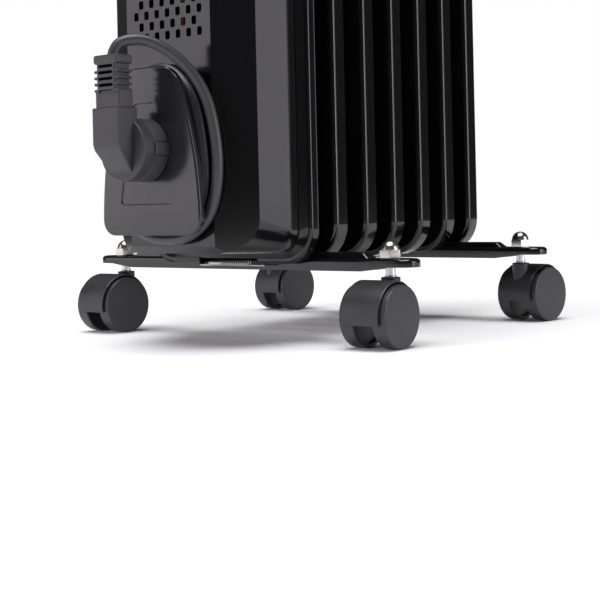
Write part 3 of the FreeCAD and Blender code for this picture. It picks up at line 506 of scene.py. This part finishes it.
round_edges(bm, [e for e in sharp_edges(bm, 40.0) if e.verts[0].co.y < plate_front + 0.0009], 0.0006, 3)
add_piece(bm, "winder_plate_skin", satin_plastic, "heater", ("winder_plate",))
nodes["winder_hub"].data.materials.clear()
nodes["winder_hub"].data.materials.append(satin_plastic)

# Tapered sleeve that holds the lead where it leaves the hub.
bm = bmesh.new()
sleeve = Matrix.Translation((-0.0075, inner_y - 0.0001, 0.0948)) @ Matrix.Rotation(radians(116.6), 4, "Y")
bmesh.ops.create_cone(bm, cap_ends=True, segments=32, radius1=0.0044, radius2=0.0041, depth=0.020,
                      matrix=sleeve)
round_edges(bm, sharp_edges(bm, 60.0), 0.0006, 2)
gland = add_piece(bm, "gland_sleeve", cord_jacket, "heater", ("cord_gland",))

# ---- Mains plug -----------------------------------------------------------------------------
# Angled round plug moulded on to the lead: disc with ribbed grips, a block behind it that
# turns the lead upwards, a neck, and a slotted strain relief. Fine matt texture all over.
plug_plastic = finish("plug_moulding", (0.026, 0.025, 0.028), (0.40, 0.54), 1500.0, 0.45, dusty=0.05)
plug_x, plug_z = -0.003, 0.1264
plug_front, plug_back = -0.172, -0.1512
block_front = -0.184
bm = bmesh.new()
disc_depth = plug_back - plug_front
add_drum(bm, (plug_x, (plug_back + plug_front) / 2, plug_z), "Y", 0.0197, disc_depth, 0.0012, 96)
for side in (-1, 1):
    x = plug_x + side * 0.0180
    add_block(bm, (x - 0.0035, plug_back - 0.0125, plug_z - 0.0038),
              (x + 0.0035, plug_back - 0.0005, plug_z + 0.0038),
              0.0008, 3)
half = 0.0117
made = bmesh.ops.create_cube(bm, size=1.0, matrix=Matrix.Translation(
    (plug_x - 0.0015, (block_front + plug_front + 0.004) / 2, plug_z + 0.0143))
    @ Matrix.Diagonal((2 * half, plug_front + 0.004 - block_front, 0.0226, 1.0)))
below = [v for v in made["verts"] if v.co.z < plug_z + 0.01]
chin = [f for f in bm.faces if all(v in below for v in f.verts)]
made_chin = bmesh.ops.extrude_face_region(bm, geom=chin)
chin_verts = [v for v in made_chin["geom"] if isinstance(v, bmesh.types.BMVert)]
for vert in chin_verts:
    drop = 0.0225 if vert.co.y > plug_front - 0.005 else 0.0035
    vert.co.z -= drop
    if vert.co.y < plug_front - 0.005:
        vert.co.y += 0.0012
    vert.co.x = plug_x + (vert.co.x - plug_x) * (0.74 if drop > 0.01 else 1.0)
bmesh.ops.delete(bm, geom=chin, context="FACES_ONLY")
block_edges = {e for v in made["verts"] + chin_verts if v.is_valid for e in v.link_edges}
round_edges(bm, [e for e in block_edges if e.is_valid and e.calc_face_angle(0.0) > radians(20)], 0.0009, 3)
neck_y = -0.178
add_block(bm, (plug_x - 0.0105, neck_y - 0.0055, plug_z + 0.0250),
          (plug_x + 0.0105, neck_y + 0.0065, plug_z + 0.0365),
          0.0012, 3)
add_piece(bm, "plug_body", plug_plastic, "heater", ("mains_plug",))

bm = bmesh.new()
relief_low, relief_high = plug_z + 0.0350, 0.184
add_block(bm, (plug_x - 0.0082, neck_y - 0.0066, relief_low - 0.001),
          (plug_x + 0.0082, neck_y + 0.0064, relief_high - 0.003),
          0.0016, 3)
add_block(bm, (plug_x - 0.0104, neck_y - 0.0069, relief_high - 0.0056),
          (plug_x + 0.0104, neck_y + 0.0067, relief_high),
          0.0013, 3)
slot_pitch = 0.00385
for tooth in range(4):
    z = relief_high - 0.0102 - tooth * slot_pitch
    add_block(bm, (plug_x - 0.0106, neck_y - 0.0063, z - 0.0009),
              (plug_x + 0.0106, neck_y + 0.0061, z + 0.0009), 0.0008, 3)
relief = add_piece(bm, "plug_relief", plug_plastic, "heater")
bm = bmesh.new()
for slot in range(5):
    z = relief_high - 0.0070 - slot * slot_pitch
    add_block(bm, (plug_x - 0.0062, neck_y - 0.010, z - 0.0010),
              (plug_x + 0.0062, neck_y + 0.010, z + 0.0010), 0.0008, 3)
punch(relief, bm, True)

# Rough finger pads round the back half of the disc, two on each side of the earth contacts.
grip_plastic = finish("plug_grip", (0.030, 0.029, 0.032), (0.50, 0.66), 1500.0, 1.0, dusty=0.12)
bm = bmesh.new()
for start, sweep in ((13, 58), (-75, 62), (109, 58), (193, 62)):
    rim_points = ((plug_back - 0.0125, 0.0190), (plug_back - 0.0118, 0.0201), (plug_back - 0.0010, 0.0203),
                  (plug_back - 0.0003, 0.0192))
    turn = Matrix.Translation((plug_x, 0, plug_z)) @ Matrix.Rotation(radians(-start), 4, "Y")
    verts = [bm.verts.new(turn @ Vector((radius, y, 0))) for y, radius in rim_points]
    edges = [bm.edges.new(pair) for pair in zip(verts, verts[1:] + verts[:1])]
    lid = bm.faces.new(verts)
    bmesh.ops.spin(bm, geom=[lid], cent=(plug_x, 0, plug_z), axis=(0, -1, 0), angle=radians(sweep),
                   steps=24)
grips = add_piece(bm, "plug_grips", grip_plastic, "heater")

nickel = finish("nickel_plate", (0.50, 0.47, 0.43), (0.16, 0.30), 300.0, 0.05, 1.0, dusty=0.03)
nodes["plug_pins"].data.materials.clear()
nodes["plug_pins"].data.materials.append(nickel)

# ---- Foot bars ------------------------------------------------------------------------------
# Two pressed bars, round at the ends, with a rim that is deeper in the middle and a raised rib.
bar_half, bar_width, bar_top = 0.1385, 0.020, 0.0552
for name in ("foot_bracket_front", "foot_bracket_rear"):
    low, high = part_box(name)
    y = (low.y + high.y) / 2
    bm = bmesh.new()
    corners = [bm.verts.new((sx * bar_half, y + sy * bar_width / 2, bar_top)) for sx, sy in
               ((1, -1), (1, 1), (-1, 1), (-1, -1))]
    bm.faces.new(corners)
    bmesh.ops.bevel(bm, geom=corners, offset=bar_width / 2 - 0.0001, segments=10, profile=0.5,
                    affect="VERTICES",
                    material=-1)
    for x in (-0.122, -0.112, -0.102, 0.102, 0.112, 0.122):
        bmesh.ops.bisect_plane(bm, geom=bm.verts[:] + bm.edges[:] + bm.faces[:], plane_co=(x, 0, 0),
                               plane_no=(1, 0, 0))
    made = bmesh.ops.extrude_face_region(bm, geom=bm.faces[:])
    skirt = [v for v in made["geom"] if isinstance(v, bmesh.types.BMVert)]
    for vert in skirt:
        rise = step(abs(vert.co.x), 0.102, 0.124)
        vert.co.z = 0.0471 + 0.0027 * rise * rise * (3 - 2 * rise)
    lids = [f for f in bm.faces if all(v in skirt for v in f.verts)]
    bmesh.ops.delete(bm, geom=lids, context="FACES_ONLY")
    bmesh.ops.recalc_face_normals(bm, faces=bm.faces)
    round_edges(bm, sharp_edges(bm, 60.0), 0.0026, 6)
    bmesh.ops.solidify(bm, geom=bm.faces[:], thickness=0.0014)
    made = bmesh.ops.create_cube(bm, size=1.0, matrix=Matrix.Translation((0, y, bar_top + 0.0016))
                                 @ Matrix.Diagonal((0.210, 0.011, 0.0040, 1.0)))
    top = [v for v in made["verts"] if v.co.z > bar_top + 0.001]
    for vert in top:
        vert.co.x -= 0.005 if vert.co.x > 0 else -0.005
        vert.co.y += 0.0016 if vert.co.y < y else -0.0016
    round_edges(bm, list({e for v in top for e in v.link_edges}), 0.0011, 3)
    add_piece(bm, name + "_skin", enamel, "heater", (name,))

# ---- Casters --------------------------------------------------------------------------------
# Twin-wheel swivel casters in black satin nylon: a drum hood with a boss round the stem, and
# a flat-faced wheel on each side. Zinc stem, domed nickel nut on top of the bar.
nylon = finish("caster_nylon", (0.0165, 0.0160, 0.0185), (0.34, 0.44), 1300.0, 0.10, dusty=0.04)
stem_x, trail, wheel_r, hood_r, hood_half = 0.118, 0.0133, 0.020, 0.0222, 0.0134
wheel_profile = ((0.0072, 0.0026), (0.0072, 0.0055), (0.0098, 0.0058), (0.0098, 0.0172), (0.0072, 0.0176),
                 (0.0072, 0.0196), (0.0077, 0.0200), (0.0162, 0.0200), (0.0168, 0.0197), (0.0172, 0.0190),
                 (0.0172, 0.0001))


def lathe(bm, profile, place, steps=72):
    """Spin (along, radius) points round the local X axis."""
    verts = [bm.verts.new(place @ Vector((along, 0, radius))) for along, radius in profile]
    edges = [bm.edges.new(pair) for pair in zip(verts, verts[1:])]
    axis = (place.to_3x3() @ Vector((1, 0, 0))).normalized()
    bmesh.ops.spin(bm, geom=verts + edges, cent=place.translation, axis=axis, angle=2 * pi, steps=steps,
                   use_merge=True)


for corner, (side, end, bar, swivel) in {
        "front_left": (-1, -1, "front", -2.8), "front_right": (1, -1, "front", -0.2),
        "rear_left": (-1, 1, "rear", -5.1), "rear_right": (1, 1, "rear", -8.3)}.items():
    low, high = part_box("foot_bracket_" + bar)
    stem = Vector((side * stem_x, (low.y + high.y) / 2, 0))
    turn = Matrix.Translation(stem) @ Matrix.Rotation(radians(swivel), 4, "Z")
    hub = turn @ Matrix.Translation((0, end * trail, wheel_r))
    body = "caster_" + corner
    bm = bmesh.new()
    hood_in = hood_r - 0.0009
    lathe(bm, ((-hood_half, hood_in), (-hood_half, hood_r - 0.0004), (-hood_half + 0.0005, hood_r),
               (hood_half - 0.0005, hood_r), (hood_half, hood_r - 0.0004), (hood_half, hood_in),
               (0.002, hood_in), (0.002, 0.0001)), hub)
    lathe(bm, ((-hood_half, hood_in), (-0.002, hood_in), (-0.002, 0.0001)), hub)
    bmesh.ops.remove_doubles(bm, verts=bm.verts, dist=1e-6)
    cut = bmesh.ops.bisect_plane(bm, geom=bm.verts[:] + bm.edges[:] + bm.faces[:], plane_co=(0, 0, 0.0156),
                                 plane_no=(0, 0, -1), clear_outer=True)
    bmesh.ops.holes_fill(bm, edges=[e for e in cut["geom_cut"] if isinstance(e, bmesh.types.BMEdge)],
                         sides=0)
    boss = bmesh.ops.create_cone(bm, cap_ends=True, segments=48, radius1=0.0061, radius2=0.0062,
                                 depth=0.0134,
                                 matrix=turn @ Matrix.Translation((0, 0, 0.0367)))
    rims = {e for v in boss["verts"] for e in v.link_edges if any(len(f.verts) > 4 for f in e.link_faces)}
    round_edges(bm, list(rims), 0.0006, 3)
    bmesh.ops.create_cone(bm, cap_ends=True, segments=32, radius1=0.005, radius2=0.005, depth=0.013,
                          matrix=hub @ Matrix.Rotation(pi / 2, 4, "Y"))
    add_piece(bm, "hood_%s_skin" % corner, nylon, body, ("hood_" + corner,), 40.0)
    for way, place in (("left", -1), ("right", 1)):
        bm = bmesh.new()
        flip = hub @ Matrix.Rotation(pi if place < 0 else 0.0, 4, "Z")
        lathe(bm, wheel_profile, flip)
        wheel = "wheel_%s_%s" % (corner, way)
        add_piece(bm, wheel + "_skin", nylon, wheel + "_body", (wheel,), 30.0)
    axle = nodes["axle_" + corner].data
    axle.materials.clear()
    axle.materials.append(zinc)

# Stems and nuts: one piece each for the four corners.
bm_stems, bm_nuts = bmesh.new(), bmesh.new()
for bar in ("foot_bracket_front", "foot_bracket_rear"):
    low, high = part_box(bar)
    y = (low.y + high.y) / 2
    for x in (-stem_x, stem_x):
        add_drum(bm_stems, (x, y, 0.0465), "Z", 0.0032, 0.031, 0.0004, 32)
        add_drum(bm_stems, (x, y, 0.0440), "Z", 0.0038, 0.0010, 0.0003, 32)
        hexagon = bmesh.ops.create_cone(bm_nuts, cap_ends=True, segments=6, radius1=0.0075, radius2=0.0075,
                                        depth=0.0053, matrix=Matrix.Translation((x, y, bar_top + 0.00265))
                                        @ Matrix.Rotation(radians(90), 4, "Z"))
        round_edges(bm_nuts, list({e for v in hexagon["verts"] for e in v.link_edges}), 0.0005, 2)
        dome = bmesh.ops.create_uvsphere(bm_nuts, u_segments=40, v_segments=20, radius=0.0061,
                                         matrix=Matrix.Translation((x, y, bar_top + 0.0053)))
        low_half = [v for v in dome["verts"] if v.co.z < bar_top + 0.003]
        bmesh.ops.delete(bm_nuts, geom=low_half, context="VERTS")
add_piece(bm_stems, "caster_stem_set", zinc, "heater", ("caster_stems",))
add_piece(bm_nuts, "cap_nut_set", nickel, "heater", ("cap_nuts",), 35.0)

# ---- Controls -------------------------------------------------------------------------------
# Satin plastic fascia with a thermostat knob over a ring of raised ticks and two red rocker
# switches in black frames.
fascia_plastic = finish("fascia_plastic", (0.040, 0.040, 0.043), (0.33, 0.44), 1400.0, 0.08)
knob_plastic = finish("knob_plastic", (0.020, 0.020, 0.022), (0.20, 0.30), 900.0, 0.04)
mark_paint = finish("mark_paint", (0.62, 0.62, 0.60), (0.45, 0.55), 900.0, 0.05, dusty=0.1)
rocker_plastic = finish("rocker_plastic", (0.42, 0.012, 0.010), (0.16, 0.26), 800.0, 0.03, dusty=0.02)
fascia_y = panel_y - 0.0016
knob_z, rocker_z = 0.525, 0.440
bm = bmesh.new()
flat_outline(bm, 0.031, 0.396, 0.584, 0.006, fascia_y, 8)
made = bmesh.ops.extrude_face_region(bm, geom=bm.faces[:])
bmesh.ops.translate(bm, verts=[v for v in made["geom"] if isinstance(v, bmesh.types.BMVert)],
                    vec=(0, 0.0016, 0))
bmesh.ops.recalc_face_normals(bm, faces=bm.faces)
rim = [e for e in sharp_edges(bm, 60.0) if all(abs(v.co.y - fascia_y) < 1e-7 for v in e.verts)]
round_edges(bm, rim, 0.0006, 3)
add_piece(bm, "fascia_skin", fascia_plastic, "heater", ("control_fascia",))
bm = bmesh.new()
for tick in range(13):
    angle = radians(225 - tick * 22.5)
    long = 0.0030 if tick % 3 == 0 else 0.0018
    middle = Vector((0, fascia_y - 0.0001, knob_z)) + 0.0268 * Vector((cos(angle), 0, sin(angle)))
    bmesh.ops.create_cube(bm, size=1.0, matrix=Matrix.Translation(middle) @ Matrix.Rotation(-angle, 4, "Y")
                          @ Matrix.Diagonal((long, 0.0003, 0.0008, 1.0)))
add_piece(bm, "dial_ticks", mark_paint, "heater")
bm = bmesh.new()
knob_y = fascia_y - 0.0006
add_drum(bm, (0, knob_y - 0.003, knob_z), "Y", 0.023, 0.006, 0.0012, 72)
add_block(bm, (-0.0048, knob_y - 0.017, knob_z - 0.0200), (0.0048, knob_y - 0.004, knob_z + 0.0200),
          0.0022, 4)
for groove in range(36):
    angle = 2 * pi * groove / 36
    middle = Vector((0, knob_y - 0.003, knob_z)) + 0.0228 * Vector((cos(angle), 0, sin(angle)))
    bmesh.ops.create_cube(bm, size=1.0, matrix=Matrix.Translation(middle) @ Matrix.Rotation(-angle, 4, "Y")
                          @ Matrix.Diagonal((0.0008, 0.0040, 0.0014, 1.0)))
add_piece(bm, "knob_skin", knob_plastic, "knob", ("thermostat_knob",))
bm = bmesh.new()
add_block(bm, (-0.0006, knob_y - 0.0172, knob_z + 0.006), (0.0006, knob_y - 0.0168, knob_z + 0.018),
          0.0001, 1)
add_piece(bm, "knob_pointer", mark_paint, "knob")
for number, x in ((1, -0.015), (2, 0.015)):
    name = "rocker_%d" % number
    pivot = Vector((x, fascia_y + 0.002, rocker_z))
    tilt = Matrix.Translation(pivot) @ Matrix.Rotation(radians(8.0), 4, "X")
    bm = bmesh.new()
    sides = [bm.verts.new(tilt @ Vector((-0.007, y, z))) for y, z in
             ((-0.004, 0.0), (-0.0064, -0.0105), (0.003, -0.0105), (0.003, 0.0105), (-0.0064, 0.0105))]
    bm.faces.new(sides)
    made = bmesh.ops.extrude_face_region(bm, geom=bm.faces[:])
    bmesh.ops.translate(bm, verts=[v for v in made["geom"] if isinstance(v, bmesh.types.BMVert)],
                        vec=(0.014, 0, 0))
    bmesh.ops.recalc_face_normals(bm, faces=bm.faces)
    round_edges(bm, sharp_edges(bm, 40.0), 0.0007, 3)
    add_piece(bm, name + "_skin", rocker_plastic, "switch_%d" % number, (name,))
nodes["switch_frames"].data.materials.clear()
nodes["switch_frames"].data.materials.append(knob_plastic)

# ---- Carrying handle ------------------------------------------------------------------------
# Moulded bow with two round feet, screwed on from inside the housing.
handle_x, handle_y, handle_top = 0.036, -0.108, 0.642
bow = bpy.data.curves.new("carry_bow", "CURVE")
bow.dimensions = "3D"
bow.bevel_depth = 0.006
bow.bevel_resolution = 8
bow.resolution_u = 12
line = bow.splines.new("BEZIER")
corner = 0.014
bend = corner * 0.5523
places = ((-handle_x, housing_top, 0, 0.008), (-handle_x, handle_top - corner, 0, bend),
          (-handle_x + corner, handle_top, 1, bend), (handle_x - corner, handle_top, 1, bend),
          (handle_x, handle_top - corner, 2, bend), (handle_x, housing_top, 2, 0.008))
line.bezier_points.add(len(places) - 1)
for point, (x, z, way, reach) in zip(line.bezier_points, places):
    along = ((0, 0, 1), (1, 0, 0), (0, 0, -1))[way]
    point.co = (x, handle_y, z)
    point.handle_left = point.co - Vector(along) * reach
    point.handle_right = point.co + Vector(along) * reach
bow_object = bpy.data.objects.new("carry_bow_line", bow)
scene.collection.objects.link(bow_object)
bpy.context.view_layer.update()
bow_mesh = bpy.data.meshes.new_from_object(bow_object.evaluated_get(bpy.context.evaluated_depsgraph_get()))
bpy.data.objects.remove(bow_object)
bm = bmesh.new()
bm.from_mesh(bow_mesh)
for x in (-handle_x, handle_x):
    add_drum(bm, (x, handle_y, housing_top + 0.0025), "Z", 0.0100, 0.005, 0.0008, 48, 0.0025)
add_piece(bm, "carry_handle_skin", satin_plastic, "heater", ("carry_handle",), 40.0)

# ---- Inside parts and small hardware --------------------------------------------------------
# These keep their CAD shapes: bolts, screws, element, thermostat, terminal block and wires.
steel = finish("element_steel", (0.40, 0.37, 0.34), (0.35, 0.55), 350.0, 0.10, 1.0)
brass = finish("turned_brass", (0.70, 0.52, 0.25), (0.22, 0.34), 500.0, 0.06, 1.0)
phenolic = finish("phenolic", (0.47, 0.44, 0.37), (0.45, 0.60), 700.0, 0.10)
wire_red = finish("silicone_wire", (0.40, 0.060, 0.030), (0.40, 0.52), 600.0, 0.06)
for material, names in ((zinc, ("u_bolts", "u_bolt_nuts", "handle_screws", "thermal_cutout",
                                "filler_plug")),
                        (steel, ("heating_element", "element_flange")), (brass, ("thermostat_shaft",)),
                        (phenolic, ("thermostat_body", "terminal_block")), (wire_red, ("wiring_loom",))):
    for name in names:
        nodes[name].data.materials.clear()
        nodes[name].data.materials.append(material)

# ---- Studio ---------------------------------------------------------------------------------
# Pale floor under a white surround, soft light from overhead, and upright cards: one mirrored in
# the flat panel and the winder plate, two in the right-hand side, and a fill from the front.
floor_mesh = bpy.data.meshes.new("floor")
bm = bmesh.new()
bmesh.ops.create_circle(bm, cap_ends=True, segments=96, radius=2.0)
bm.to_mesh(floor_mesh)
bm.free()
floor = bpy.data.objects.new("floor", floor_mesh)
scene.collection.objects.link(floor)
floor_paint = bpy.data.materials.new("floor_paint")
floor_paint.use_nodes = True
floor_paint.node_tree.nodes["Principled BSDF"].inputs["Base Color"].default_value = (0.85, 0.85, 0.855, 1)
floor_paint.node_tree.nodes["Principled BSDF"].inputs["Roughness"].default_value = 0.7
floor_mesh.materials.append(floor_paint)

world = bpy.data.worlds.new("surround")
world.use_nodes = True
scene.world = world
sky = world.node_tree.nodes["Background"]
sky.inputs["Color"].default_value = (1.0, 1.0, 1.0, 1.0)
rays = world.node_tree.nodes.new("ShaderNodeLightPath")
level = world.node_tree.nodes.new("ShaderNodeMapRange")
level.inputs["To Min"].default_value = 0.06
level.inputs["To Max"].default_value = 1.0
world.node_tree.links.new(rays.outputs["Is Camera Ray"], level.inputs["Value"])
world.node_tree.links.new(level.outputs["Result"], sky.inputs["Strength"])
scene.view_settings.view_transform = "Standard"

overhead = bpy.data.lights.new("overhead", "SUN")
overhead.energy = 3.9
overhead.angle = radians(50.0)
overhead_lamp = bpy.data.objects.new("overhead", overhead)
overhead_lamp.matrix_world = Matrix.Rotation(radians(8.0), 4, "X")
scene.collection.objects.link(overhead_lamp)


def soft_box(name, azimuth, away, width, height, radiance, glossy=True):
    """Upright card standing on the floor, in a compass direction from the heater, facing it."""
    place = Vector((away * cos(radians(azimuth)), away * sin(radians(azimuth)), height / 2))
    light = bpy.data.lights.new(name, "AREA")
    light.shape = "RECTANGLE"
    light.size = width
    light.size_y = height
    light.energy = radiance * pi * width * height
    light.color = (1.0, 0.965, 1.04)
    lamp = bpy.data.objects.new(name, light)
    facing = Vector((place.x, place.y, 0)).to_track_quat("Z", "Y").to_matrix().to_4x4()
    lamp.matrix_world = Matrix.Translation(place) @ facing
    lamp.visible_glossy = glossy
    scene.collection.objects.link(lamp)


soft_box("left_card", 225.5, 2.4, 1.05, 1.5, 2.0)
soft_box("right_card", 26.0, 2.4, 1.00, 1.5, 2.0)
soft_box("right_strip", 8.0, 2.4, 0.40, 1.5, 8.0)
soft_box("front_fill", 252.0, 2.6, 1.6, 1.6, 5.5, False)
